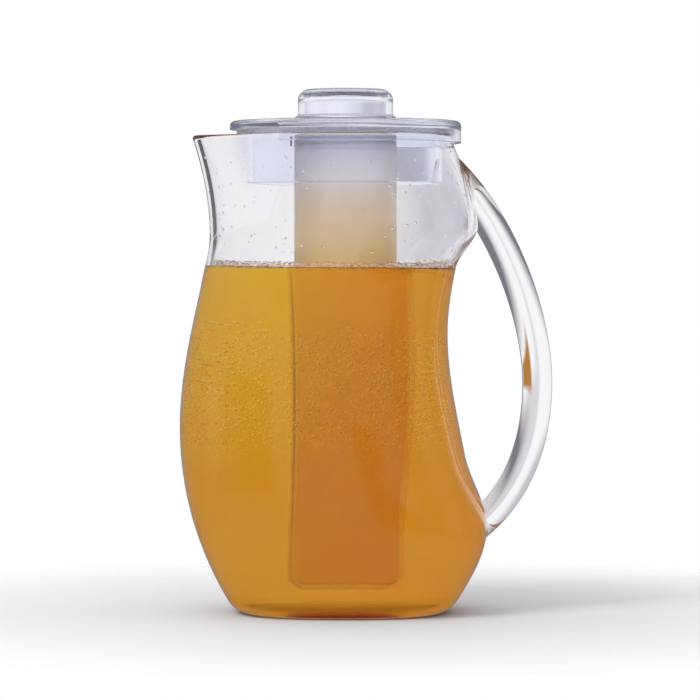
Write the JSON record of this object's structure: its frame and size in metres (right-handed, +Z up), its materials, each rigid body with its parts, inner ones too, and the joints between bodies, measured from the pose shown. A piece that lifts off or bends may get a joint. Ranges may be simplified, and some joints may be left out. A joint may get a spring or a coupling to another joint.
{
  "type": "pitcher with ice core",
  "caption": "Clear pitcher with an S-curved body, pouring lip and solid bar handle; its drop-in lid carries a screw-on tube for ice that chills the drink without watering it down.",
  "frame": {"origin": "centre of the flat base, on the axis of the mouth, the lid and the core", "axes": "+Z up, +X towards the handle, the pouring lip at -X"},
  "size_m": [0.1973, 0.13, 0.2764],
  "materials": {
    "clear_plastic": "polished clear",
    "lid_plastic": "polished clear with a faint blue tint",
    "frosted_plastic": "frosted",
    "soft_ring": "translucent"
  },
  "bodies": {
    "jug": {"jug_body": "clear_plastic", "handle": "clear_plastic"},
    "lid": {"lid": "lid_plastic", "lid_knob": "lid_plastic", "lid_seal": "soft_ring"},
    "core_ring": {"core_seal": "soft_ring"},
    "core": {"ice_core": "frosted_plastic"}
  },
  "joints": [
    {"name": "lid_lift", "type": "slide", "parent": "jug", "child": "lid", "axis": [0, 0, 1], "range_m": [0, 0.25]},
    {"name": "core_drop", "type": "slide", "parent": "lid", "child": "core_ring", "axis": [0, 0, -1], "range_m": [0, 0.0073]},
    {"name": "core_twist", "type": "hinge", "parent": "core_ring", "child": "core", "pos_m": [0, 0, 0.25], "axis": [0, 0, -1], "range_deg": [0, 1080]}
  ],
  "couplings": [
    {"joint": "core_drop", "follows": "core_twist", "m_per_rad": 0.00038197}
  ]
}
